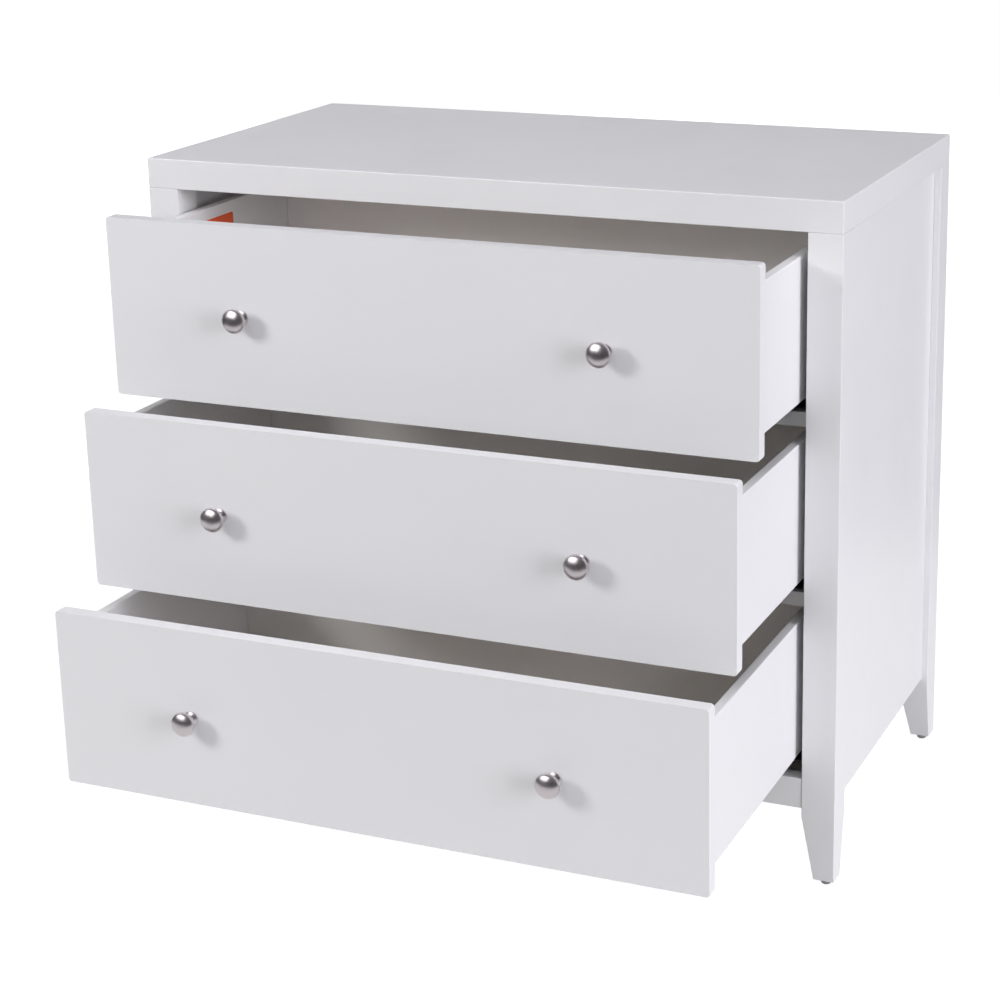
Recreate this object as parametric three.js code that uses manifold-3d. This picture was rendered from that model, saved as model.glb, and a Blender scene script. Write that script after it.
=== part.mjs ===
// A three-drawer chest on tapered legs, in millimetres, +Z up.
//
// The chest is drawn with x = 0 at its middle, y = 0 at the front faces of its posts, y growing to the
// back, and z = 0 at the floor. The whole group is then moved along y, so that the origin is the centre
// of the footprint with the drawers standing open as they are drawn.
//
// Every board is one solid, with its grooves, mortises, rebates and holes cut out of it.

import * as THREE from "three";
import { mergeVertices } from "three/addons/utils/BufferGeometryUtils.js";
import Module from "manifold-3d";

const wasm = await Module();
wasm.setup();

// ---- driving dimensions ----

const GAP = 0.3; // clearance left between two pieces that touch

// case
const WIDTH = 914;
const DEPTH = 483;
const HEIGHT = 850;
const TOP_THICKNESS = 38;
const TOP_EDGE = 1; // eased edge of the top
const POST = 42; // square section of a post
const LEG_END = 26; // square section of a leg where it meets its glide
const TAPER_HEIGHT = 90; // height at which the legs begin to taper
const GLIDE_HEIGHT = 8;
const APRON_BOTTOM = 100; // lower edge of the side panels and of the bottom rails

// recessed panels
const PANEL_THICKNESS = 16;
const PANEL_RECESS = 9; // from the outer face of a post to the outer face of its side panel
const GROOVE_DEPTH = 8;
const BACK_THICKNESS = 6;
const REBATE_WIDTH = 10; // width of the step in a back post that holds the back panel
const BACK_RECESS = 2;
const DUST_BOARD_THICKNESS = 6; // of the board that closes the bottom of the case
const DUST_BOARD_HEIGHT = 112; // its lower face
const DUST_BOARD_GROOVE = 8; // depth of the grooves in the bottom rails that hold it

// drawer fronts
const DRAWER_COUNT = 3;
const FRONT_WIDTH = 826;
const FRONT_HEIGHT = 220;
const FRONT_THICKNESS = 18;
const FRONT_EDGE = 1.5; // eased edges of a drawer front
const FRONT_GAP = 3; // between one drawer front and the next
const TOP_CLEARANCE = 4; // between the top drawer front and the top

// drawer boxes
const BOX_WIDTH = 812;
const BOX_HEIGHT = 174;
const BOX_LIFT = 21; // from the lower edge of a front to the lower edge of its box
const BOX_INSIDE_DEPTH = 376; // from the back of the front to the inner face of the drawer back
const BOX_WALL = 12;
const BOTTOM_THICKNESS = 6;
const BOTTOM_LIFT = 13; // from the lower edge of a box to the lower face of its bottom
const BOTTOM_GROOVE = 5; // depth of the grooves that hold the bottom

// rails
const RAIL_THICKNESS = 18;
const RAIL_DEPTH = 42;
const RAIL_SETBACK = 20; // behind the post fronts, so that a closed drawer front clears it
const BOTTOM_RAIL_THICKNESS = 20;
const FRONT_RAIL_SETBACK = 1; // of the bottom front rail, behind the post fronts
const TENON_LENGTH = 10;

// knobs
const KNOB_SPACING = 464; // between the two knobs of a drawer
const KNOB_RADIUS = 15;
const KNOB_LENGTH = 27; // from the drawer front to the nose of the knob
const SCREW_RADIUS = 2;
const SCREW_REACH = 10; // how far a screw enters its knob

// slides
const SLIDE_START = 21; // behind the post fronts
const CHANNEL_LENGTH = 441;
const RUNNER_START = 3; // behind the back of a drawer front
const RUNNER_LENGTH = 370;

// How far each drawer stands open, from the top one down.
const OPENINGS = [162, 235, 324];
const DRAWER_NAMES = ["top", "middle", "bottom"];

// ---- derived dimensions ----

const HALF = WIDTH / 2;
const TOP_UNDERSIDE = HEIGHT - TOP_THICKNESS;
const POST_INNER = HALF - POST;
const BOTTOM_RAIL_TOP = TOP_UNDERSIDE - TOP_CLEARANCE - DRAWER_COUNT * (FRONT_HEIGHT + FRONT_GAP);

// of the bottom back rail, from the back faces of the posts to just inside the back panel
const BACK_RAIL_SETBACK = BACK_RECESS + BACK_THICKNESS + GAP;

// z of the lower edge of drawer front number i, counted from the top
function frontBottom(i) {
  return TOP_UNDERSIDE - TOP_CLEARANCE - (i + 1) * FRONT_HEIGHT - i * FRONT_GAP;
}

// ---- materials ----

function paint(color, roughness, metalness) {
  return new THREE.MeshStandardMaterial({ color, roughness, metalness, flatShading: true });
}

const FINISH = {
  whitePaint: () => paint(0xf1f1f3, 0.42, 0),
  drawerWood: () => paint(0xded7cd, 0.6, 0),
  drawerBottom: () => paint(0xc8bcae, 0.7, 0),
  nickel: () => paint(0xb9b3b0, 0.28, 1),
  zinc: () => paint(0xa9abad, 0.35, 1),
  blackSteel: () => paint(0x1c1c1e, 0.45, 0.8),
  glidePlastic: () => paint(0x8c8c8e, 0.55, 0),
  sticker: () => paint(0xd9561f, 0.6, 0),
};

// ---- solids ----

// A closed geometry as a solid that others can be added to or cut out of.
function solidOf(geometry) {
  const bare = geometry.clone();
  bare.deleteAttribute("normal");
  bare.deleteAttribute("uv");
  const merged = mergeVertices(bare, 1e-3);
  return new wasm.Manifold(
    new wasm.Mesh({
      numProp: 3,
      vertProperties: merged.attributes.position.array,
      triVerts: new Uint32Array(merged.index.array),
    }),
  );
}

// A solid as a geometry again.
function geometryOf(solid) {
  const mesh = solid.getMesh();
  const geometry = new THREE.BufferGeometry();
  geometry.setAttribute("position", new THREE.BufferAttribute(mesh.vertProperties, 3));
  geometry.setIndex(new THREE.BufferAttribute(mesh.triVerts, 1));
  geometry.computeVertexNormals();
  return geometry;
}

// A square-edged board between two corners, as a geometry.
function board([x0, x1], [y0, y1], [z0, z1]) {
  const geometry = new THREE.BoxGeometry(x1 - x0, y1 - y0, z1 - z0);
  return geometry.translate((x0 + x1) / 2, (y0 + y1) / 2, (z0 + z1) / 2);
}

// A list of [x, y] points as a closed outline.
function outline(points) {
  return new THREE.Shape(points.map(([x, y]) => new THREE.Vector2(x, y)));
}

// A rectangle of the given size with its outer edges eased, lying in the xy plane from z = 0 up.
function easedSlab(width, height, thickness, edge) {
  const x = width / 2 - edge;
  const y = height / 2 - edge;
  const shape = outline([[-x, -y], [x, -y], [x, y], [-x, y]]);
  const geometry = new THREE.ExtrudeGeometry(shape, {
    depth: thickness - 2 * edge,
    bevelEnabled: true,
    bevelThickness: edge,
    bevelSize: edge,
    bevelSegments: 2,
  });
  return geometry.translate(0, 0, edge);
}

// An outline in x and z, extruded along +y from the front plane y0.
function alongDepth(points, y0, length) {
  const geometry = new THREE.ExtrudeGeometry(outline(points), { depth: length, bevelEnabled: false });
  geometry.rotateX(Math.PI / 2);
  return geometry.translate(0, y0 + length, 0);
}

// An outline in y and z, extruded along +x from the plane x0.
function alongWidth(points, x0, length) {
  const geometry = new THREE.ExtrudeGeometry(outline(points), { depth: length, bevelEnabled: false });
  geometry.rotateY(Math.PI / 2);
  geometry.rotateX(Math.PI / 2);
  return geometry.translate(x0, 0, 0);
}

// The first solid with the others cut out of it.
function cutFrom(geometry, tools) {
  let solid = solidOf(geometry);
  for (const tool of tools) {
    solid = solid.subtract(solidOf(tool));
  }
  return solid;
}

// A profile of [radius, height] points, given from the nose back, turned about the y axis. The nose
// points to the front (-y).
function turned(profile, steps) {
  const points = [...profile].reverse().map(([radius, height]) => new THREE.Vector2(radius, height));
  return new THREE.LatheGeometry(points, steps).rotateX(Math.PI);
}

const chest = new THREE.Group();

function add(parent, name, geometry, finish) {
  const mesh = new THREE.Mesh(geometry, FINISH[finish]());
  mesh.name = name;
  parent.add(mesh);
  return mesh;
}

// side is -1 on the left and 1 on the right; the result is in rising order.
function mirrored([a, b], side) {
  return side > 0 ? [a, b] : [-b, -a];
}

const SIDES = [
  { side: -1, word: "left" },
  { side: 1, word: "right" },
];

// ---- case ----

// The square post with its leg tapered on the two faces that look into the chest. It stands with its
// outer corner at the front right; back and left posts are the same piece, mirrored.
function taperedPost() {
  const top = TOP_UNDERSIDE - GAP;
  const taper = POST - LEG_END;
  const acrossWidth = [
    [HALF, GLIDE_HEIGHT],
    [HALF, top],
    [POST_INNER, top],
    [POST_INNER, TAPER_HEIGHT],
    [POST_INNER + taper, GLIDE_HEIGHT],
  ];
  const acrossDepth = [
    [0, GLIDE_HEIGHT],
    [LEG_END, GLIDE_HEIGHT],
    [POST, TAPER_HEIGHT],
    [POST, top],
    [0, top],
  ];
  const widthTaper = solidOf(alongDepth([...acrossWidth].reverse(), 0, POST));
  const depthTaper = solidOf(alongWidth(acrossDepth, POST_INNER, POST));
  return widthTaper.intersect(depthTaper);
}

const GLIDE_STEM_RADIUS = 4;
const GLIDE_STEM_LENGTH = 24;
const GLIDE_CENTRE = LEG_END / 2; // in from the two outer faces of a post

// z of the middle of each divider rail: a little below the middle of the gap between two fronts
const DIVIDER_HEIGHTS = [0, 1].map((i) => frontBottom(i) - FRONT_GAP / 2 - 1);

const DIVIDER_TENON = { y: RAIL_SETBACK + 4, depth: 14, height: 10 };

// The tenon of a bottom rail that is set back by the given distance from the faces of its posts.
function apronTenon(setback) {
  return { y: setback + 5, depth: 10, height: 24 };
}

// The mortise in a post that takes a tenon whose middle is at the given height.
function mortise(tenon, middle) {
  return board(
    [POST_INNER - 2, POST_INNER + TENON_LENGTH + GAP],
    [tenon.y - GAP, tenon.y + tenon.depth + GAP],
    [middle - tenon.height / 2 - GAP, middle + tenon.height / 2 + GAP],
  );
}

function apronMortise(setback) {
  return mortise(apronTenon(setback), (APRON_BOTTOM + BOTTOM_RAIL_TOP) / 2);
}

function frontMortises() {
  const dividers = DIVIDER_HEIGHTS.map((z) => mortise(DIVIDER_TENON, z));
  return [...dividers, apronMortise(FRONT_RAIL_SETBACK)];
}

// The groove in a post that holds the edge of a side panel.
function panelGroove() {
  const outer = HALF - PANEL_RECESS;
  return board(
    [outer - PANEL_THICKNESS - GAP, outer + GAP],
    [POST - GROOVE_DEPTH, POST + 1],
    [APRON_BOTTOM - GAP, TOP_UNDERSIDE + 1],
  );
}

// The step in a back post that holds the edge of the back panel, on a post drawn at the front.
function backRebate() {
  return board(
    [POST_INNER - 1, POST_INNER + REBATE_WIDTH],
    [-1, BACK_THICKNESS + BACK_RECESS + GAP],
    [APRON_BOTTOM - GAP, TOP_UNDERSIDE + 1],
  );
}

function glideHole() {
  const hole = new THREE.CylinderGeometry(
    GLIDE_STEM_RADIUS + GAP,
    GLIDE_STEM_RADIUS + GAP,
    GLIDE_STEM_LENGTH + 2,
    32,
  );
  hole.rotateX(Math.PI / 2);
  return hole.translate(HALF - GLIDE_CENTRE, GLIDE_CENTRE, GLIDE_HEIGHT - 1 + GLIDE_STEM_LENGTH / 2);
}

// The front right post, or the back right one before it is turned to face the back.
function postSolid(tools) {
  let post = taperedPost();
  for (const tool of tools) {
    post = post.subtract(solidOf(tool));
  }
  return post;
}

const frontPost = postSolid([...frontMortises(), panelGroove(), glideHole()]);
const backPost = postSolid([apronMortise(BACK_RAIL_SETBACK), panelGroove(), backRebate(), glideHole()]);

// A glide: a domed pad below and a threaded stem above, drawn as a plain shank.
function glideGeometry() {
  const pad = GLIDE_HEIGHT - GAP;
  const profile = [
    [0, 0],
    [6.5, 0],
    [8, 1.5],
    [8, pad - 2],
    [6.5, pad],
    [GLIDE_STEM_RADIUS, pad],
    [GLIDE_STEM_RADIUS, pad + GLIDE_STEM_LENGTH],
    [0, pad + GLIDE_STEM_LENGTH],
  ];
  const points = profile.map(([radius, height]) => new THREE.Vector2(radius, height));
  return new THREE.LatheGeometry(points, 32).rotateX(Math.PI / 2);
}

add(
  chest,
  "top_panel",
  easedSlab(WIDTH, DEPTH, TOP_THICKNESS, TOP_EDGE).translate(0, DEPTH / 2, TOP_UNDERSIDE),
  "whitePaint",
);

for (const { side, word } of SIDES) {
  const front = frontPost.mirror([1, 0, 0]);
  const back = backPost.mirror([0, 1, 0]).translate([0, DEPTH, 0]);
  const sides = {
    front: side > 0 ? frontPost : front,
    back: side > 0 ? back : back.mirror([1, 0, 0]),
  };
  for (const end of ["front", "back"]) {
    add(chest, `post_${end}_${word}`, geometryOf(sides[end]), "whitePaint");
    const y = end === "front" ? GLIDE_CENTRE : DEPTH - GLIDE_CENTRE;
    const glide = add(chest, `glide_${end}_${word}`, glideGeometry(), "glidePlastic");
    glide.position.set(side * (HALF - GLIDE_CENTRE), y, 0);
  }

  const panelReach = GROOVE_DEPTH - GAP;
  const outer = HALF - PANEL_RECESS;
  add(
    chest,
    `side_panel_${word}`,
    board(
      mirrored([outer - PANEL_THICKNESS, outer], side),
      [POST - panelReach, DEPTH - POST + panelReach],
      [APRON_BOTTOM, TOP_UNDERSIDE - GAP],
    ),
    "whitePaint",
  );
}

const backPanelHalf = POST_INNER + REBATE_WIDTH - GAP;
add(
  chest,
  "back_panel",
  board(
    [-backPanelHalf, backPanelHalf],
    [DEPTH - BACK_RECESS - BACK_THICKNESS, DEPTH - BACK_RECESS],
    [APRON_BOTTOM, TOP_UNDERSIDE - GAP],
  ),
  "whitePaint",
);

// A rail with a stub tenon at each end, between the left and right posts.
function railSolid([y0, y1], [z0, z1], tenon) {
  const end = POST_INNER - GAP;
  const middle = (z0 + z1) / 2;
  let rail = solidOf(board([-end, end], [y0, y1], [z0, z1]));
  const reach = TENON_LENGTH + GAP;
  for (const { side } of SIDES) {
    const tongue = board(
      mirrored([end - 1, end + reach], side),
      [tenon.y, tenon.y + tenon.depth],
      [middle - tenon.height / 2, middle + tenon.height / 2],
    );
    rail = rail.add(solidOf(tongue));
  }
  return rail;
}

["upper", "lower"].forEach((level, i) => {
  const z = DIVIDER_HEIGHTS[i];
  const rail = railSolid(
    [RAIL_SETBACK, RAIL_SETBACK + RAIL_DEPTH],
    [z - RAIL_THICKNESS / 2, z + RAIL_THICKNESS / 2],
    DIVIDER_TENON,
  );
  add(chest, `divider_rail_${level}`, geometryOf(rail), "whitePaint");
});

// A bottom rail with the groove for the dust board along its inner face.
function bottomRail(setback) {
  const inner = setback + BOTTOM_RAIL_THICKNESS;
  const rail = railSolid([setback, inner], [APRON_BOTTOM, BOTTOM_RAIL_TOP], apronTenon(setback));
  const groove = board(
    [GAP - POST_INNER, POST_INNER - GAP],
    [inner - DUST_BOARD_GROOVE, inner + 1],
    [DUST_BOARD_HEIGHT - GAP, DUST_BOARD_HEIGHT + DUST_BOARD_THICKNESS + GAP],
  );
  return rail.subtract(solidOf(groove));
}

add(chest, "bottom_rail_front", geometryOf(bottomRail(FRONT_RAIL_SETBACK)), "whitePaint");
const backRail = bottomRail(BACK_RAIL_SETBACK).mirror([0, 1, 0]).translate([0, DEPTH, 0]);
add(chest, "bottom_rail_back", geometryOf(backRail), "whitePaint");

// The board that closes the bottom of the case, notched round the four posts.
function dustBoard() {
  const wide = HALF - PANEL_RECESS - PANEL_THICKNESS - GAP;
  const narrow = POST_INNER - 2 * GAP;
  const inRail = BOTTOM_RAIL_THICKNESS - DUST_BOARD_GROOVE + GAP;
  const ends = [FRONT_RAIL_SETBACK + inRail, DEPTH - BACK_RAIL_SETBACK - inRail];
  const notches = [POST + GAP, DEPTH - POST - GAP];
  const rightEdge = [
    [narrow, ends[0]],
    [narrow, notches[0]],
    [wide, notches[0]],
    [wide, notches[1]],
    [narrow, notches[1]],
    [narrow, ends[1]],
  ];
  const leftEdge = rightEdge.map(([x, y]) => [-x, y]).reverse();
  const geometry = new THREE.ExtrudeGeometry(outline([...rightEdge, ...leftEdge]), {
    depth: DUST_BOARD_THICKNESS,
    bevelEnabled: false,
  });
  return geometry.translate(0, 0, DUST_BOARD_HEIGHT);
}

add(chest, "bottom_panel", dustBoard(), "whitePaint");

// ---- slides ----

// The steel channel on the right-hand posts: an outer flange against the posts, a broad web that reaches
// in under the drawer, and an inner lip. Heights are from the lower edge of the drawer box that it carries.
const CHANNEL_SECTION = [
  [POST_INNER - 0.3, -2],
  [POST_INNER - 2, -2],
  [POST_INNER - 2, -9.4],
  [POST_INNER - 44.4, -9.4],
  [POST_INNER - 44.4, -2],
  [POST_INNER - 46, -2],
  [POST_INNER - 46, -11],
  [POST_INNER - 0.3, -11],
];

// The runner in the right-hand corner of a drawer's underside: a plate just under the bottom board,
// with two legs that reach down into the channel.
const RUNNER_SECTION = [
  [POST_INNER - 21.3, 12.7],
  [POST_INNER - 42, 12.7],
  [POST_INNER - 42, -7],
  [POST_INNER - 40.4, -7],
  [POST_INNER - 40.4, 11.1],
  [POST_INNER - 22.9, 11.1],
  [POST_INNER - 22.9, -7],
  [POST_INNER - 21.3, -7],
];

// A section given for the right-hand side, extruded along the depth; the left one is its mirror image.
function slideGeometry(section, side, y0, length, z) {
  const points = section.map(([x, height]) => [side * x, z + height]);
  const ordered = side > 0 ? points : points.reverse();
  return alongDepth(ordered, y0, length);
}

// ---- drawers ----

// From the nose back: a domed face, a rounded rim, a waist, a foot, and the hole for the screw.
const KNOB_PROFILE = [
  [0, KNOB_LENGTH],
  [3.5, KNOB_LENGTH - 0.3],
  [7, KNOB_LENGTH - 1.3],
  [10, KNOB_LENGTH - 2.8],
  [12.5, KNOB_LENGTH - 4.6],
  [14, KNOB_LENGTH - 6],
  [14.75, KNOB_LENGTH - 7.1],
  [KNOB_RADIUS, KNOB_LENGTH - 8.2],
  [14.75, KNOB_LENGTH - 9.5],
  [13.7, KNOB_LENGTH - 11.8],
  [11.7, KNOB_LENGTH - 14],
  [8.9, KNOB_LENGTH - 16.3],
  [6.7, KNOB_LENGTH - 18.6],
  [5.8, KNOB_LENGTH - 21],
  [6, 3.6],
  [7.4, 2.4],
  [8.6, 2],
  [9, 1.4],
  [9, GAP],
  [SCREW_RADIUS + GAP, GAP],
  [SCREW_RADIUS + GAP, SCREW_REACH + GAP],
  [0, SCREW_REACH + GAP],
];

// A pan-head screw with its tip at height 0, pointing to the front.
const SCREW_LENGTH = FRONT_THICKNESS + SCREW_REACH;
const SCREW_PROFILE = [
  [0, SCREW_LENGTH],
  [SCREW_RADIUS, SCREW_LENGTH],
  [SCREW_RADIUS, -GAP],
  [4, -GAP],
  [4, -1.6],
  [2.6, -2.6],
  [0, -2.6],
];

const WALL_X = [BOX_WIDTH / 2 - BOX_WALL, BOX_WIDTH / 2];
const BOX_FRONT = FRONT_THICKNESS + GAP;
const BACK_Y = [FRONT_THICKNESS + BOX_INSIDE_DEPTH, FRONT_THICKNESS + BOX_INSIDE_DEPTH + BOX_WALL];
const BOTTOM_Z = [BOX_LIFT + BOTTOM_LIFT, BOX_LIFT + BOTTOM_LIFT + BOTTOM_THICKNESS];
const BOX_Z = [BOX_LIFT, BOX_LIFT + BOX_HEIGHT];

// The slot that takes the drawer bottom, running round the inside of the box.
function bottomSlot() {
  const half = WALL_X[0] + BOTTOM_GROOVE;
  return board(
    [-half, half],
    [FRONT_THICKNESS - BOTTOM_GROOVE, BACK_Y[0] + BOTTOM_GROOVE],
    [BOTTOM_Z[0] - GAP, BOTTOM_Z[1] + GAP],
  );
}

function screwHole(x) {
  const radius = SCREW_RADIUS + GAP;
  const hole = new THREE.CylinderGeometry(radius, radius, FRONT_THICKNESS + 2, 24);
  return hole.translate(x, FRONT_THICKNESS / 2, FRONT_HEIGHT / 2);
}

// One drawer, drawn with y = 0 at its front face and z = 0 at the lower edge of its front.
function drawer(name) {
  const group = new THREE.Group();
  const knobX = KNOB_SPACING / 2;

  const face = easedSlab(FRONT_WIDTH, FRONT_HEIGHT, FRONT_THICKNESS, FRONT_EDGE);
  face.rotateX(Math.PI / 2);
  face.translate(0, FRONT_THICKNESS, FRONT_HEIGHT / 2);
  const front = cutFrom(face, [bottomSlot(), screwHole(-knobX), screwHole(knobX)]);
  add(group, `${name}_front`, geometryOf(front), "whitePaint");

  for (const { side, word } of SIDES) {
    const wall = board(mirrored(WALL_X, side), [BOX_FRONT, BACK_Y[1]], BOX_Z);
    add(group, `${name}_side_${word}`, geometryOf(cutFrom(wall, [bottomSlot()])), "whitePaint");

    const knob = add(group, `${name}_knob_${word}`, turned(KNOB_PROFILE, 48), "nickel");
    knob.position.set(side * knobX, 0, FRONT_HEIGHT / 2);

    const screw = add(group, `${name}_screw_${word}`, turned(SCREW_PROFILE, 24), "zinc");
    screw.position.set(side * knobX, FRONT_THICKNESS, FRONT_HEIGHT / 2);

    const runnerStart = FRONT_THICKNESS + RUNNER_START;
    const runner = slideGeometry(RUNNER_SECTION, side, runnerStart, RUNNER_LENGTH, BOX_LIFT);
    add(group, `${name}_slide_${word}`, runner, "blackSteel");
  }

  const backHalf = WALL_X[0] - GAP;
  const back = cutFrom(board([-backHalf, backHalf], BACK_Y, BOX_Z), [bottomSlot()]);
  add(group, `${name}_back`, geometryOf(back), "drawerWood");

  const bottomHalf = WALL_X[0] + BOTTOM_GROOVE - GAP;
  const bottomY = [FRONT_THICKNESS - BOTTOM_GROOVE + GAP, BACK_Y[0] + BOTTOM_GROOVE - GAP];
  add(group, `${name}_bottom`, board([-bottomHalf, bottomHalf], bottomY, BOTTOM_Z), "drawerBottom");
  return group;
}

DRAWER_NAMES.forEach((name, i) => {
  const unit = drawer(name);
  unit.position.set(0, -OPENINGS[i], frontBottom(i));
  chest.add(unit);

  for (const { side, word } of SIDES) {
    const z = frontBottom(i) + BOX_LIFT;
    const channel = slideGeometry(CHANNEL_SECTION, side, SLIDE_START, CHANNEL_LENGTH, z);
    add(chest, `case_slide_${name}_${word}`, channel, "blackSteel");
  }

  // A blank sticker on the inner face of the left side of the top drawer.
  if (i === 0) {
    const x = -WALL_X[0] + GAP;
    const sticker = board([x, x + 0.5], [165, 255], [BOX_Z[1] - 75, BOX_Z[1] - 15]);
    add(unit, "top_sticker", sticker, "sticker");
  }
});

// The origin is the middle of the footprint, from the back of the case to the bottom drawer's knobs.
const frontmost = -OPENINGS[DRAWER_COUNT - 1] - KNOB_LENGTH;
chest.position.y = -(DEPTH + frontmost) / 2;

export default chest;
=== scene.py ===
import math

import bmesh
import bpy
from mathutils import Matrix, Vector


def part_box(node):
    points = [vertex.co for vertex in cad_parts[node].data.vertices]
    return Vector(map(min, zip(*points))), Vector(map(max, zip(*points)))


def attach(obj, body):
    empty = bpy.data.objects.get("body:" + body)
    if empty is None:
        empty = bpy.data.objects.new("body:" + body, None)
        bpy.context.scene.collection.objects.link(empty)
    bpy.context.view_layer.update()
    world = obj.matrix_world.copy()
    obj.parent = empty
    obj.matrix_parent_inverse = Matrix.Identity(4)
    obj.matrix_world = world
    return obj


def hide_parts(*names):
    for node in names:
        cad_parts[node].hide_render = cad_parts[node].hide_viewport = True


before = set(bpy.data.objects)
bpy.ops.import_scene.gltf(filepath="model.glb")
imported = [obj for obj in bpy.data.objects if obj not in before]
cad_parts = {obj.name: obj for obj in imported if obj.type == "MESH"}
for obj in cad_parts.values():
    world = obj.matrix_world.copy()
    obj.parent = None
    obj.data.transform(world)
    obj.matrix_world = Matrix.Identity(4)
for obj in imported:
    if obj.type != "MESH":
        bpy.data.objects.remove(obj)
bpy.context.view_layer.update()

# Everything is in metres, in the frame of the CAD model: x across the chest, -y to its front, z up.

MM = 0.001
SIDES = ("left", "right")
ENDS = ("front", "back")
DRAWERS = ("top", "middle", "bottom")

# ---------------------------------------------------------------- camera

CAMERA_PLACE = Vector((1.1689, -2.4914, 1.3419))
CAMERA_TURN = 22.62  # degrees from +y towards -x
CAMERA_TILT = 15.95  # degrees below the horizon
CAMERA_ROLL = -0.82  # degrees anticlockwise, as the camera sees it
CAMERA_LENS = 82.3  # millimetres, on a sensor SENSOR_WIDTH wide
SENSOR_WIDTH = 36
CAMERA_SHIFT = (-0.1, -0.1)
CAMERA_REACH = (0.05, 100)  # the nearest and the furthest that it sees


def make_camera():
    turn, tilt, roll = map(math.radians, (CAMERA_TURN, CAMERA_TILT, CAMERA_ROLL))
    forward = Vector((-math.sin(turn), math.cos(turn), 0))
    ahead = forward * math.cos(tilt) - Vector((0, 0, math.sin(tilt)))
    level = Vector((math.cos(turn), math.sin(turn), 0))
    upright = level.cross(ahead)
    right = level * math.cos(roll) + upright * math.sin(roll)
    up = upright * math.cos(roll) - level * math.sin(roll)
    data = bpy.data.cameras.new("camera")
    data.sensor_width = SENSOR_WIDTH
    data.lens = CAMERA_LENS
    data.shift_x, data.shift_y = CAMERA_SHIFT
    data.clip_start, data.clip_end = CAMERA_REACH
    camera = bpy.data.objects.new("camera", data)
    axes = Matrix((right, up, -ahead)).transposed().to_4x4()
    camera.matrix_world = Matrix.Translation(CAMERA_PLACE) @ axes
    bpy.context.scene.collection.objects.link(camera)
    bpy.context.scene.camera = camera


make_camera()

# ---------------------------------------------------------------- node helpers

NOISE_SPAN = (0.3, 0.7)  # between which most of a noise texture's values lie


def new_material(name):
    """A material with only an output and a Principled shader, as (material, nodes, links, shader)."""
    material = bpy.data.materials.new(name)
    material.use_nodes = True
    nodes, links = material.node_tree.nodes, material.node_tree.links
    nodes.clear()
    output = nodes.new("ShaderNodeOutputMaterial")
    shader = nodes.new("ShaderNodeBsdfPrincipled")
    links.new(shader.outputs["BSDF"], output.inputs["Surface"])
    return material, nodes, links, shader


def stretched_place(nodes, links, stretch):
    """Object coordinates scaled by stretch."""
    place = nodes.new("ShaderNodeTexCoord")
    scaled = nodes.new("ShaderNodeMapping")
    scaled.inputs["Scale"].default_value = stretch
    links.new(place.outputs["Object"], scaled.inputs["Vector"])
    return scaled.outputs["Vector"]


def noise(nodes, links, vector, scale, detail=2.0, rough=0.5):
    """Noise with scale features to the metre."""
    texture = nodes.new("ShaderNodeTexNoise")
    texture.inputs["Scale"].default_value = scale
    texture.inputs["Detail"].default_value = detail
    texture.inputs["Roughness"].default_value = rough
    links.new(vector, texture.inputs["Vector"])
    return texture.outputs["Fac"]


def remapped(nodes, links, value, low, high):
    """A noise value, spread over low to high."""
    spread = nodes.new("ShaderNodeMapRange")
    spread.inputs["From Min"].default_value = NOISE_SPAN[0]
    spread.inputs["From Max"].default_value = NOISE_SPAN[1]
    spread.inputs["To Min"].default_value = low
    spread.inputs["To Max"].default_value = high
    links.new(value, spread.inputs["Value"])
    return spread.outputs["Result"]


def blended(nodes, links, value, first, second):
    """A colour between first and second, by a noise value."""
    ramp = nodes.new("ShaderNodeValToRGB")
    for element, place, colour in zip(ramp.color_ramp.elements, NOISE_SPAN, (first, second)):
        element.position = place
        element.color = (*colour, 1)
    links.new(value, ramp.inputs["Fac"])
    return ramp.outputs["Color"]


def bumped(nodes, links, shader, height, depth):
    """Bump of that depth, in metres, from a height value."""
    bump = nodes.new("ShaderNodeBump")
    bump.inputs["Distance"].default_value = depth
    bump.inputs["Strength"].default_value = 1.0
    links.new(height, bump.inputs["Height"])
    links.new(bump.outputs["Normal"], shader.inputs["Normal"])


# ---------------------------------------------------------------- materials

EVEN = (1, 1, 1)  # the stretch of a texture that is the same in all directions
FIBRE_SHARE = 0.35  # how deep the wood's fibres show in the paint, against its orange peel
COATING_VARIATION = 1.5  # how much lighter than its tint the palest patches of a coating are
PLASTIC_VARIATION = 1.12  # and of a plastic
GLOSS_VARIATION = 0.05  # by which a plastic's roughness varies each way


def painted_wood(name, light, dark, grain):
    """Satin paint over board: a fine orange peel, faint grain showing through it, uneven gloss."""
    material, nodes, links, shader = new_material(name)
    along = stretched_place(nodes, links, grain)
    plain = stretched_place(nodes, links, EVEN)
    cloud = noise(nodes, links, plain, scale=3.5, detail=3.0)
    links.new(blended(nodes, links, cloud, dark, light), shader.inputs["Base Color"])
    gloss = noise(nodes, links, plain, scale=22.0, detail=3.0)
    links.new(remapped(nodes, links, gloss, 0.36, 0.46), shader.inputs["Roughness"])
    peel = noise(nodes, links, plain, scale=420.0)
    fibres = noise(nodes, links, along, scale=60.0, detail=4.0, rough=0.6)
    height = nodes.new("ShaderNodeMath")
    height.operation = "MULTIPLY_ADD"
    height.inputs[1].default_value = FIBRE_SHARE
    links.new(fibres, height.inputs[0])
    links.new(peel, height.inputs[2])
    bumped(nodes, links, shader, height.outputs["Value"], 0.03 * MM)
    shader.inputs["Specular IOR Level"].default_value = 0.45
    return material


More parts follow.
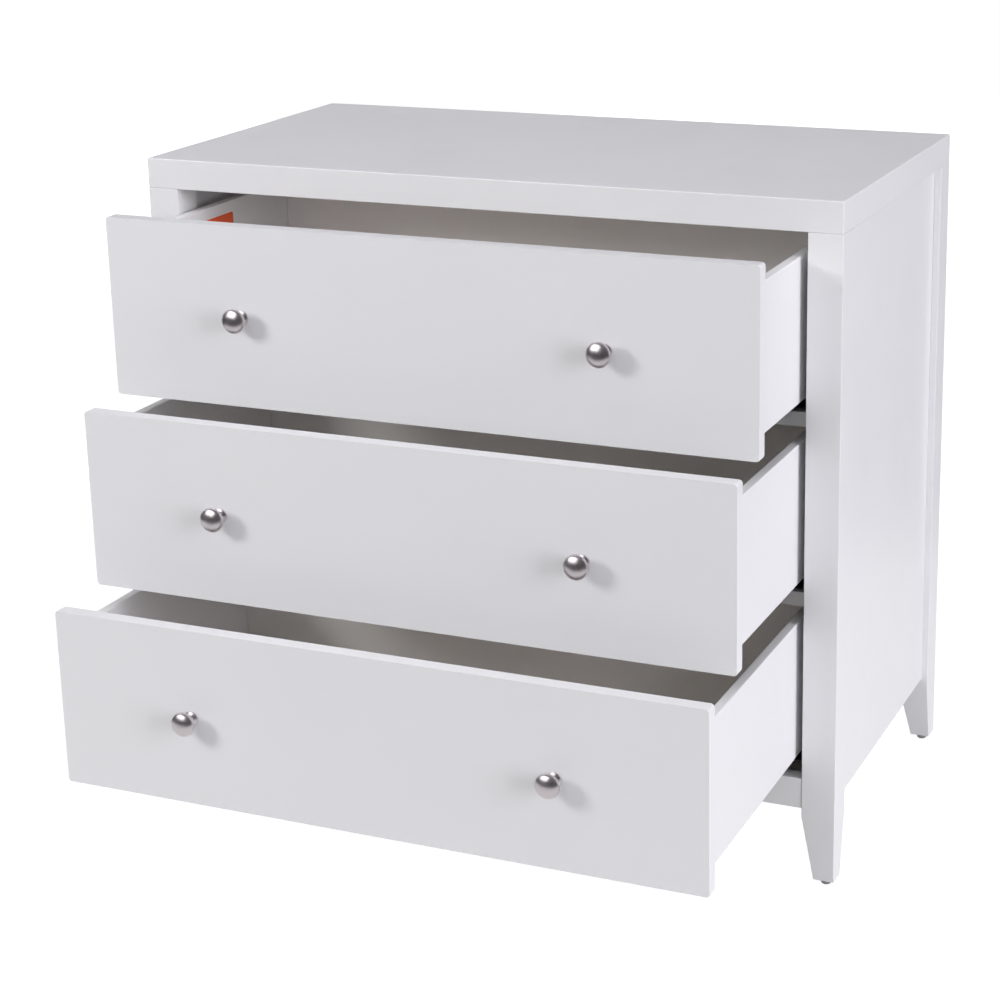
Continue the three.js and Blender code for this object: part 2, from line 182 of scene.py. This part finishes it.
def bare_board(name, light, dark, stretch):
    """Unpainted board with drawn-out grain."""
    material, nodes, links, shader = new_material(name)
    along = stretched_place(nodes, links, stretch)
    grain = noise(nodes, links, along, scale=26.0, detail=6.0, rough=0.62)
    links.new(blended(nodes, links, grain, dark, light), shader.inputs["Base Color"])
    links.new(remapped(nodes, links, grain, 0.68, 0.56), shader.inputs["Roughness"])
    bumped(nodes, links, shader, grain, 0.1 * MM)
    return material


def turned_metal(name, tint, roughness, bump_depth):
    """Plated metal with a fine turned texture and slightly uneven gloss."""
    material, nodes, links, shader = new_material(name)
    shader.inputs["Base Color"].default_value = (*tint, 1)
    shader.inputs["Metallic"].default_value = 1.0
    plain = stretched_place(nodes, links, EVEN)
    gloss = noise(nodes, links, plain, scale=260.0, detail=3.0)
    links.new(remapped(nodes, links, gloss, *roughness), shader.inputs["Roughness"])
    fine = noise(nodes, links, plain, scale=1800.0)
    bumped(nodes, links, shader, fine, bump_depth)
    return material


def coated_metal(name, tint):
    """Steel under a thin, slightly patchy coating."""
    material, nodes, links, shader = new_material(name)
    plain = stretched_place(nodes, links, EVEN)
    patches = noise(nodes, links, plain, scale=90.0, detail=4.0)
    light = tuple(c * COATING_VARIATION for c in tint)
    links.new(blended(nodes, links, patches, tint, light), shader.inputs["Base Color"])
    links.new(remapped(nodes, links, patches, 0.34, 0.5), shader.inputs["Roughness"])
    shader.inputs["Metallic"].default_value = 0.4
    bumped(nodes, links, shader, noise(nodes, links, plain, scale=900.0), 0.02 * MM)
    return material


def moulded_plastic(name, tint, roughness):
    """Plain plastic with a fine moulded texture."""
    material, nodes, links, shader = new_material(name)
    plain = stretched_place(nodes, links, EVEN)
    patches = noise(nodes, links, plain, scale=140.0, detail=3.0)
    light = tuple(min(1.0, c * PLASTIC_VARIATION) for c in tint)
    links.new(blended(nodes, links, patches, tint, light), shader.inputs["Base Color"])
    low, high = roughness - GLOSS_VARIATION, roughness + GLOSS_VARIATION
    gloss = remapped(nodes, links, patches, low, high)
    links.new(gloss, shader.inputs["Roughness"])
    bumped(nodes, links, shader, noise(nodes, links, plain, scale=1100.0), 0.02 * MM)
    return material


WHITE, WHITE_DARK = (0.80, 0.80, 0.812), (0.785, 0.785, 0.80)
PALE_WOOD, PALE_WOOD_DARK = (0.86, 0.845, 0.83), (0.835, 0.82, 0.805)
TAN_BOARD, TAN_BOARD_DARK = (0.76, 0.685, 0.60), (0.71, 0.63, 0.545)
# The last three numbers scale the grain along each axis: it is drawn out along the small one.
WHITE_UPRIGHT = painted_wood("white_paint_upright", WHITE, WHITE_DARK, (1, 1, 0.06))
WHITE_ACROSS = painted_wood("white_paint_across", WHITE, WHITE_DARK, (0.06, 1, 1))
WHITE_DEEP = painted_wood("white_paint_deep", WHITE, WHITE_DARK, (1, 0.06, 1))
DRAWER_WOOD = bare_board("drawer_wood", PALE_WOOD, PALE_WOOD_DARK, (0.05, 1, 1))
BOTTOM_BOARD = bare_board("drawer_bottom_board", TAN_BOARD, TAN_BOARD_DARK, (0.06, 1, 1))
NICKEL = turned_metal("satin_nickel", (0.68, 0.63, 0.65), (0.29, 0.35), 0.004 * MM)
ZINC = turned_metal("zinc_plate", (0.66, 0.67, 0.69), (0.28, 0.4), 0.01 * MM)
BLACK_STEEL = coated_metal("black_steel", (0.014, 0.014, 0.015))
GLIDE_PLASTIC = moulded_plastic("glide_plastic", (0.27, 0.27, 0.28), 0.5)
STICKER = moulded_plastic("sticker_film", (0.78, 0.10, 0.02), 0.42)

# ---------------------------------------------------------------- mesh helpers

SHARP_ANGLE = 42  # degrees that two faces turn, from which the edge between them stays sharp
EASED_ANGLE = 30  # degrees that two faces turn, above which the edge between them is rounded
FACE_WEIGHT = 60  # from 1 to 100, even at 50: how far the largest faces decide the shading
SEAM = 0.25 * MM  # by which a painted piece grows to close the gap to the piece it is glued to


def finish_piece(name, mesh, material, body, nodes_replaced=()):
    """A bmesh as a named piece on its body, in place of those CAD nodes, smooth but for sharp edges."""
    for edge in mesh.edges:
        edge.smooth = edge.calc_face_angle(0) < math.radians(SHARP_ANGLE)
    data = bpy.data.meshes.new(name)
    mesh.to_mesh(data)
    mesh.free()
    data.materials.append(material)
    for polygon in data.polygons:
        polygon.use_smooth = True
    piece = bpy.data.objects.new(name, data)
    bpy.context.scene.collection.objects.link(piece)
    normals = piece.modifiers.new("face_weighted_normals", "WEIGHTED_NORMAL")
    normals.keep_sharp = True
    normals.weight = FACE_WEIGHT
    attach(piece, body)
    if nodes_replaced:
        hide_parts(*nodes_replaced)


def ease_edges(mesh, radius, segments, shortest):
    """Rounds each edge that is longer than shortest and whose faces turn by more than EASED_ANGLE."""
    edges = [
        edge
        for edge in mesh.edges
        if len(edge.link_faces) == 2
        and edge.calc_length() > shortest
        and edge.calc_face_angle(0) > math.radians(EASED_ANGLE)
    ]
    bmesh.ops.bevel(
        mesh,
        geom=edges,
        offset=radius,
        segments=segments,
        profile=0.5,
        affect="EDGES",
        clamp_overlap=True,
    )


def box_mesh(low, high):
    """A box between two corners."""
    mesh = bmesh.new()
    bmesh.ops.create_cube(mesh, size=1)
    middle, size = (low + high) / 2, high - low
    for vertex in mesh.verts:
        vertex.co = Vector(vertex.co[i] * size[i] + middle[i] for i in range(3))
    return mesh


SAME_PLACE = 0.005 * MM  # within which two corners of a CAD mesh are one
SAME_FACE_ANGLE = 0.5  # degrees within which neighbouring CAD faces are one flat face
SAME_HEIGHT = 0.01 * MM  # within which two corners are level
SHORT_EDGE = 8 * MM  # up to which an edge is left sharp, unless a piece says otherwise


def cad_mesh(node):
    """The CAD node's own shape, with its flat faces whole."""
    mesh = bmesh.new()
    mesh.from_mesh(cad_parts[node].data)
    bmesh.ops.remove_doubles(mesh, verts=mesh.verts, dist=SAME_PLACE)
    bmesh.ops.dissolve_limit(
        mesh,
        angle_limit=math.radians(SAME_FACE_ANGLE),
        verts=mesh.verts,
        edges=mesh.edges,
        delimit=set(),
    )
    return mesh


def eased_box(node, radius, material, body, grow=(0, 0, 0)):
    """The node's box, grown on both sides of each axis, with rounded edges."""
    low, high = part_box(node)
    mesh = box_mesh(low - Vector(grow), high + Vector(grow))
    ease_edges(mesh, radius, 4, SHORT_EDGE)
    finish_piece(node + "_board", mesh, material, body, [node])


def eased_node(node, radius, material, body, shortest=SHORT_EDGE, raised=0):
    """The CAD node's shape with its long edges rounded and its top face raised."""
    mesh = cad_mesh(node)
    top = max(vertex.co.z for vertex in mesh.verts)
    for vertex in mesh.verts:
        if vertex.co.z > top - SAME_HEIGHT:
            vertex.co.z += raised
    ease_edges(mesh, radius, 3, shortest)
    finish_piece(node + "_eased", mesh, material, body, [node])


def turned_mesh(profile, steps, axis):
    """A profile of (radius, height) points turned about "y", with its height towards -y, or "z"."""
    mesh = bmesh.new()
    rings = []
    for radius, height in profile:
        ring = []
        on_axis = radius < SAME_PLACE
        for i in range(1 if on_axis else steps):
            angle = 2 * math.pi * i / steps
            across, over = radius * math.cos(angle), radius * math.sin(angle)
            place = (across, -height, over) if axis == "y" else (across, over, height)
            ring.append(mesh.verts.new(place))
        rings.append(ring)
    for lower, upper in zip(rings, rings[1:]):
        for i in range(steps):
            j = (i + 1) % steps
            places = ((lower, i), (lower, j), (upper, j), (upper, i))
            distinct = list(dict.fromkeys(ring[k % len(ring)] for ring, k in places))
            if len(distinct) > 2:
                mesh.faces.new(distinct)
    bmesh.ops.recalc_face_normals(mesh, faces=mesh.faces)
    return mesh


def arc(centre, radius, start, end, steps):
    """Points of a circular arc in a plane, with angles in degrees from its first axis."""
    angles = [math.radians(start + (end - start) * i / steps) for i in range(steps + 1)]
    x, y = centre
    return [(x + radius * math.cos(angle), y + radius * math.sin(angle)) for angle in angles]


def bezier(a, b, c, d, steps):
    """Points of a cubic curve in a plane from a to d, drawn towards b and c."""
    points = []
    for i in range(steps + 1):
        t = i / steps
        weights = ((1 - t) ** 3, 3 * t * (1 - t) ** 2, 3 * t * t * (1 - t), t**3)
        points.append(tuple(sum(w * p[k] for w, p in zip(weights, (a, b, c, d))) for k in range(2)))
    return points


def in_millimetres(points):
    return [(x * MM, y * MM) for x, y in points]


def move(mesh, offset):
    bmesh.ops.translate(mesh, verts=mesh.verts, vec=offset)


def rotate(mesh, degrees, axis):
    rotation = Matrix.Rotation(math.radians(degrees), 3, axis)
    bmesh.ops.rotate(mesh, verts=mesh.verts, cent=(0, 0, 0), matrix=rotation)


def extruded_mesh(outline, thickness):
    """An outline of (x, y) points as a slab from z = 0 up to its thickness."""
    mesh = bmesh.new()
    lower = [mesh.verts.new((x, y, 0)) for x, y in outline]
    upper = [mesh.verts.new((x, y, thickness)) for x, y in outline]
    mesh.faces.new(lower[::-1])
    mesh.faces.new(upper)
    for i in range(len(outline)):
        j = (i + 1) % len(outline)
        mesh.faces.new((lower[i], lower[j], upper[j], upper[i]))
    return mesh


def rounded_rectangle(width, height, radius, steps):
    """The outline of a rectangle with rounded corners, centred on the origin."""
    x, y = width / 2 - radius, height / 2 - radius
    outline = []
    for centre, start in (((x, y), 0), ((-x, y), 90), ((-x, -y), 180), ((x, -y), 270)):
        outline += arc(centre, radius, start, start + 90, steps)
    return outline


# ---------------------------------------------------------------- case

POST_SHORT_EDGE = 20 * MM
RAIL_SHORT_EDGE = 15 * MM

eased_box("top_panel", 1.2 * MM, WHITE_ACROSS, "case")
for side in SIDES:
    eased_box(f"side_panel_{side}", 0.4 * MM, WHITE_UPRIGHT, "case", grow=(SEAM, 0, SEAM))
    for end in ENDS:
        post = f"post_{end}_{side}"
        eased_node(post, 0.9 * MM, WHITE_UPRIGHT, "case", POST_SHORT_EDGE, raised=SEAM)
eased_box("back_panel", 0.4 * MM, WHITE_ACROSS, "case", grow=(0, 0, SEAM))
for level in ("upper", "lower"):
    eased_node(f"divider_rail_{level}", 0.8 * MM, WHITE_ACROSS, "case", RAIL_SHORT_EDGE)
for end in ENDS:
    eased_node(f"bottom_rail_{end}", 0.9 * MM, WHITE_ACROSS, "case", RAIL_SHORT_EDGE)
eased_node("bottom_panel", 0.5 * MM, WHITE_ACROSS, "case")


def glide(node):
    """A moulded pad with a domed foot, a rounded rim, and a shank that goes up into the leg."""
    low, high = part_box(node)
    foot = [(0, 0), (4.2, 0)] + arc((4.2, 2.4), 2.4, -90, -35, 5)[1:]
    rim = arc((7.2, 5.9), 0.8, -20, 80, 6)
    collar = [(5.2, 7.0), (4.6, 7.6), (4.0, 7.7)]
    shank = [(4.0, 30.9), (3.2, 31.7), (0, 31.7)]
    mesh = turned_mesh(in_millimetres(foot + rim + collar + shank), steps=48, axis="z")
    move(mesh, Vector(((low.x + high.x) / 2, (low.y + high.y) / 2, low.z)))
    finish_piece(node + "_moulded", mesh, GLIDE_PLASTIC, "case", [node])


for side in SIDES:
    for end in ENDS:
        glide(f"glide_{end}_{side}")

# ---------------------------------------------------------------- drawers

KNOB_CLEARANCE = 0.3 * MM  # that the CAD model leaves between a drawer front and a knob


def knob_profile():
    """From the screw hole in the base, up the outside, to the middle of the face.

    The heights are from the face of the drawer front."""
    base = [(2.3, 0.3), (8.2, 0.3)] + arc((8.2, 1.1), 0.8, -90, 45, 5)
    neck = bezier((8.5, 2.0), (7.2, 2.7), (5.8, 3.2), (5.7, 5.0), 7)
    throat = bezier((5.7, 5.8), (5.8, 9.0), (9.4, 10.4), (12.4, 13.6), 10)
    flank = bezier((12.4, 13.6), (13.9, 15.2), (14.95, 16.8), (15.0, 18.4), 7)[1:]
    bevel = bezier((15.0, 18.4), (15.0, 19.8), (14.5, 20.8), (13.4, 22.3), 8)[1:]
    rim = arc((12.95, 21.95), 0.57, 38, 54, 3)[1:]
    face = bezier((13.1, 22.6), (9.6, 25.6), (5.2, 26.98), (0, 26.98), 18)
    return in_millimetres(base + neck + throat + flank + bevel + rim + face)


def knob(node, body):
    low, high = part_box(node)
    middle = (low + high) / 2
    mesh = turned_mesh(knob_profile(), steps=72, axis="y")
    move(mesh, Vector((middle.x, high.y + KNOB_CLEARANCE, middle.z)))
    finish_piece(node + "_turned", mesh, NICKEL, body, [node])


# of the screw heads, and of the cross recess in them
HEAD_RADIUS, HEAD_TOP = 4.0 * MM, 2.3 * MM
HEAD_ROUND = 1.1 * MM
RECESS_ARM, RECESS_HALF, RECESS_DEPTH = 2.1 * MM, 0.45 * MM, 1.4 * MM
RECESS_TAPER = (0.7, 0.8)  # of the recess's floor, along and across its arms


def cross_outline(arm, half):
    """The twelve corners of an upright cross, a quarter of it at a time."""
    quarter = [(arm, half), (half, half), (half, arm)]
    points = []
    for across, over, order in ((1, 1, 1), (-1, 1, -1), (-1, -1, 1), (1, -1, -1)):
        points += [(x * across, y * over) for x, y in quarter[::order]]
    return points


def screw_mesh(shank_radius, shank_length):
    """A pan-head screw with a cross recess: its head from z = 0 up, its shank below."""
    shank = [(0, -shank_length), (shank_radius, -shank_length), (shank_radius, 0)]
    round_centre = (HEAD_RADIUS - HEAD_ROUND, HEAD_TOP - HEAD_ROUND)
    head = [(HEAD_RADIUS, 0)] + arc(round_centre, HEAD_ROUND, 0, 90, 6)
    mesh = turned_mesh(shank + head, steps=32, axis="z")
    rim = [edge for edge in mesh.edges if edge.is_boundary]
    mouth = cross_outline(RECESS_ARM, RECESS_HALF)
    floor = cross_outline(RECESS_ARM * RECESS_TAPER[0], RECESS_HALF * RECESS_TAPER[1])
    upper = [mesh.verts.new((x, y, HEAD_TOP)) for x, y in mouth]
    lower = [mesh.verts.new((x, y, HEAD_TOP - RECESS_DEPTH)) for x, y in floor]
    count = len(upper)
    outline = [mesh.edges.new((upper[i], upper[(i + 1) % count])) for i in range(count)]
    bmesh.ops.triangle_fill(mesh, use_beauty=True, edges=rim + outline)
    for i in range(count):
        j = (i + 1) % count
        mesh.faces.new((upper[i], upper[j], lower[j], lower[i]))
    mesh.faces.new(lower)
    bmesh.ops.recalc_face_normals(mesh, faces=mesh.faces)
    return mesh


KNOB_SCREW_RADIUS = 2.0 * MM


def knob_screw(node, body):
    """The screw that holds a knob, driven in from behind the drawer front."""
    low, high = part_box(node)
    middle = (low + high) / 2
    mesh = screw_mesh(KNOB_SCREW_RADIUS, high.y - low.y - HEAD_TOP)
    rotate(mesh, -90, "X")
    move(mesh, Vector((middle.x, high.y - HEAD_TOP, middle.z)))
    finish_piece(node + "_pan_head", mesh, ZINC, body, [node])


# Where a channel's screws are: back from its front end, or with a minus forward from its rear end.
SLIDE_SCREW_PLACES = (12 * MM, 30 * MM, -30 * MM, -12 * MM)
SLIDE_SCREW_HEIGHT = 5.2 * MM  # above the channel's underside
SLIDE_SCREW_SCALE = (0.8, 0.8, 0.7)  # of a knob screw's head
SLIDE_SCREW_SHANK = (1.8 * MM, 1.2 * MM)  # radius and length, before it is scaled
FLANGE_FACE = 1.7 * MM  # from the channel's outer face to the face its screw heads rest on


def slide_screws(node, side):
    """The screws that fix a channel to the posts through its outer flange."""
    low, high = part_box(node)
    inward = 1 if side == "left" else -1
    flange = (low.x if side == "left" else high.x) + inward * FLANGE_FACE
    for number, offset in enumerate(SLIDE_SCREW_PLACES, 1):
        y = (low.y if offset > 0 else high.y) + offset
        mesh = screw_mesh(*SLIDE_SCREW_SHANK)
        bmesh.ops.scale(mesh, verts=mesh.verts, vec=SLIDE_SCREW_SCALE)
        rotate(mesh, 90 * inward, "Y")
        move(mesh, Vector((flange, y, low.z + SLIDE_SCREW_HEIGHT)))
        finish_piece(f"{node}_screw_{number}", mesh, ZINC, "case")


STICKER_CORNER, STICKER_THICKNESS = 3 * MM, 0.3 * MM


def sticker(node, body):
    """A blank film sticker with rounded corners, lying on the left wall of the drawer."""
    low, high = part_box(node)
    size, middle = high - low, (low + high) / 2
    mesh = extruded_mesh(rounded_rectangle(size.y, size.z, STICKER_CORNER, 8), STICKER_THICKNESS)
    on_the_wall = Matrix(((0, 0, 1), (1, 0, 0), (0, 1, 0)))  # its width along y, its height along z
    bmesh.ops.transform(mesh, verts=mesh.verts, matrix=on_the_wall.to_4x4())
    move(mesh, Vector((low.x, middle.y, middle.z)))
    finish_piece(node + "_film", mesh, STICKER, body, [node])


FRONT_CORNER, FRONT_EDGE = 3 * MM, 1.3 * MM


def is_level(edge):
    first, second = edge.verts
    return abs(first.co.z - second.co.z) < SAME_HEIGHT


def drawer_front(node, body):
    """A flat slab with small round corners and all its edges eased."""
    low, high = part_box(node)
    size, middle = high - low, (low + high) / 2
    mesh = extruded_mesh(rounded_rectangle(size.x, size.z, FRONT_CORNER, 6), size.y)
    rims = [edge for edge in mesh.edges if is_level(edge)]
    bmesh.ops.bevel(mesh, geom=rims, offset=FRONT_EDGE, segments=4, profile=0.5, affect="EDGES")
    rotate(mesh, 90, "X")
    move(mesh, Vector((middle.x, high.y, middle.z)))
    finish_piece(node + "_slab", mesh, WHITE_ACROSS, body, [node])


BOX_SHORT_EDGE = 100 * MM  # of the backs and the slides, where only the long edges are rounded

for drawer in DRAWERS:
    body = f"{drawer}_drawer"
    drawer_front(f"{drawer}_front", body)
    eased_node(f"{drawer}_back", 0.8 * MM, DRAWER_WOOD, body, BOX_SHORT_EDGE)
    eased_box(f"{drawer}_bottom", 0.3 * MM, BOTTOM_BOARD, body)
    for side in SIDES:
        eased_node(f"{drawer}_side_{side}", 1.6 * MM, WHITE_DEEP, body)
        knob(f"{drawer}_knob_{side}", body)
        knob_screw(f"{drawer}_screw_{side}", body)
        runner, channel = f"{drawer}_slide_{side}", f"case_slide_{drawer}_{side}"
        eased_node(runner, 0.5 * MM, BLACK_STEEL, body, BOX_SHORT_EDGE)
        eased_node(channel, 0.5 * MM, BLACK_STEEL, "case", BOX_SHORT_EDGE)
        slide_screws(channel, side)
sticker("top_sticker", "top_drawer")

# ---------------------------------------------------------------- floor and light


def make_floor(name, extent, albedo, glow, height):
    """A flat sheet that reflects albedo of its light and glows by itself."""
    half_width, front, back = extent
    mesh = bmesh.new()
    corners = ((-half_width, front), (half_width, front), (half_width, back), (-half_width, back))
    mesh.faces.new([mesh.verts.new((x, y, 0)) for x, y in corners])
    data = bpy.data.meshes.new(name)
    mesh.to_mesh(data)
    mesh.free()
    material, _, _, shader = new_material(name)
    shader.inputs["Base Color"].default_value = (albedo, albedo, albedo, 1)
    shader.inputs["Roughness"].default_value = 0.9
    shader.inputs["Specular IOR Level"].default_value = 0.0
    shader.inputs["Emission Color"].default_value = (1, 1, 1, 1)
    shader.inputs["Emission Strength"].default_value = glow
    data.materials.append(material)
    floor = bpy.data.objects.new(name, data)
    floor.location = (0, 0, height)
    bpy.context.scene.collection.objects.link(floor)
    return floor


def make_world():
    """A white backdrop for the camera, and around it a room whose glow depends on the height."""
    world = bpy.data.worlds.new("studio")
    world.use_nodes = True
    nodes, links = world.node_tree.nodes, world.node_tree.links
    nodes.clear()
    output = nodes.new("ShaderNodeOutputWorld")
    mix = nodes.new("ShaderNodeMixShader")
    path = nodes.new("ShaderNodeLightPath")
    backdrop = nodes.new("ShaderNodeBackground")
    backdrop.inputs["Color"].default_value = (1, 1, 1, 1)
    backdrop.inputs["Strength"].default_value = BACKDROP_GLOW
    room = nodes.new("ShaderNodeBackground")
    mirrored = nodes.new("ShaderNodeBackground")
    place = nodes.new("ShaderNodeTexCoord")
    split = nodes.new("ShaderNodeSeparateXYZ")
    links.new(place.outputs["Generated"], split.inputs["Vector"])
    for background, glows in ((room, ROOM_GLOW), (mirrored, MIRRORED_GLOW)):
        ramp = nodes.new("ShaderNodeValToRGB")
        ramp.color_ramp.elements.new(glows[1][0])
        for element, (sine, glow) in zip(ramp.color_ramp.elements, glows):
            element.position = sine
            element.color = (glow, glow, glow * ROOM_BLUE, 1)
        links.new(split.outputs["Z"], ramp.inputs["Fac"])
        links.new(ramp.outputs["Color"], background.inputs["Color"])
    glossy_mix = nodes.new("ShaderNodeMixShader")
    links.new(path.outputs["Is Glossy Ray"], glossy_mix.inputs["Fac"])
    links.new(room.outputs["Background"], glossy_mix.inputs[1])
    links.new(mirrored.outputs["Background"], glossy_mix.inputs[2])
    links.new(path.outputs["Is Camera Ray"], mix.inputs["Fac"])
    links.new(glossy_mix.outputs["Shader"], mix.inputs[1])
    links.new(backdrop.outputs["Background"], mix.inputs[2])
    links.new(mix.outputs["Shader"], output.inputs["Surface"])
    bpy.context.scene.world = world


def softbox(name, place, target, size, power, rays, tint):
    """An area lamp that either lights surfaces or shows in reflections."""
    data = bpy.data.lights.new(name, "AREA")
    data.shape = "RECTANGLE"
    data.size, data.size_y = size
    data.energy = power
    data.color = tint
    lamp = bpy.data.objects.new(name, data)
    lamp.location = place
    lamp.rotation_mode = "QUATERNION"
    lamp.rotation_quaternion = (Vector(target) - Vector(place)).to_track_quat("-Z", "Y")
    lamp.visible_camera = False
    lamp.visible_diffuse = rays == "surfaces"
    lamp.visible_glossy = rays == "reflections"
    bpy.context.scene.collection.objects.link(lamp)


BACKDROP_GLOW = 1.1
# The room's glow at three heights, each given as the sine of its elevation: as it lights the
# surfaces, and as it shows in their reflections.
ROOM_GLOW = ((0.1, 0.11), (0.35, 0.0), (0.7, 0.33))
MIRRORED_GLOW = ((0.0, 0.05), (0.4, 0.06), (0.9, 0.16))
ROOM_BLUE = 1.05  # the room's blue against its red and green
PLAIN, COOL = (1, 1, 1), (0.985, 0.97, 1.02)
SOFTBOXES = {
    # name: place, target, size, power, what it serves, tint
    "key_left": ((-2.43, -2.5, 2.1), (0, -0.2, 0.5), (1.0, 1.0), 60, "surfaces", PLAIN),
    "fill_right": ((6.0, -1.9, 2.1), (0, -0.1, 0.45), (3.6, 4.2), 350, "surfaces", COOL),
    "front_soft": ((1.2, -4.3, 2.1), (0, 0, 0.4), (6.4, 1.6), 46, "surfaces", PLAIN),
    "overhead": ((0, 0, 3.4), (0, 0, 0.4), (3.0, 3.0), 23, "surfaces", COOL),
    "back_left": ((-2.6, 5.2, 1.2), (0, 0.2, 0.45), (3.6, 2.2), 190, "surfaces", PLAIN),
    "highlight": ((-1.3, -2.2, 2.5), (-0.1, -0.3, 0.5), (3.0, 2.4), 60, "reflections", PLAIN),
    "glint_right": ((6.0, -1.9, 2.1), (0, -0.1, 0.45), (3.6, 4.2), 80, "reflections", PLAIN),
}
# The camera sees a wide white floor. The pale floor that lights the chest from below, and the one
# that shows in its knobs, reach only a little way out from it.
# Each is half a width, a front and a back.
WIDE_FLOOR = (30, -30, 30)
LIT_FLOOR = (1.8, -1.25, 1.2)
seen_floor = make_floor("floor_white", WIDE_FLOOR, albedo=0.12, glow=0.97, height=-0.5 * MM)
seen_floor.visible_diffuse = False
seen_floor.visible_glossy = False
seen_floor.visible_shadow = False
bounce_floor = make_floor("floor_bounce", LIT_FLOOR, albedo=0.3, glow=0.19, height=-1.0 * MM)
bounce_floor.visible_camera = False
bounce_floor.visible_glossy = False
mirrored_floor = make_floor("floor_mirrored", LIT_FLOOR, albedo=0.0, glow=0.78, height=-1.5 * MM)
mirrored_floor.visible_camera = False
mirrored_floor.visible_diffuse = False
mirrored_floor.visible_shadow = False
make_world()
for name, settings in SOFTBOXES.items():
    softbox(name, *settings)

bpy.context.scene.view_settings.view_transform = "Standard"
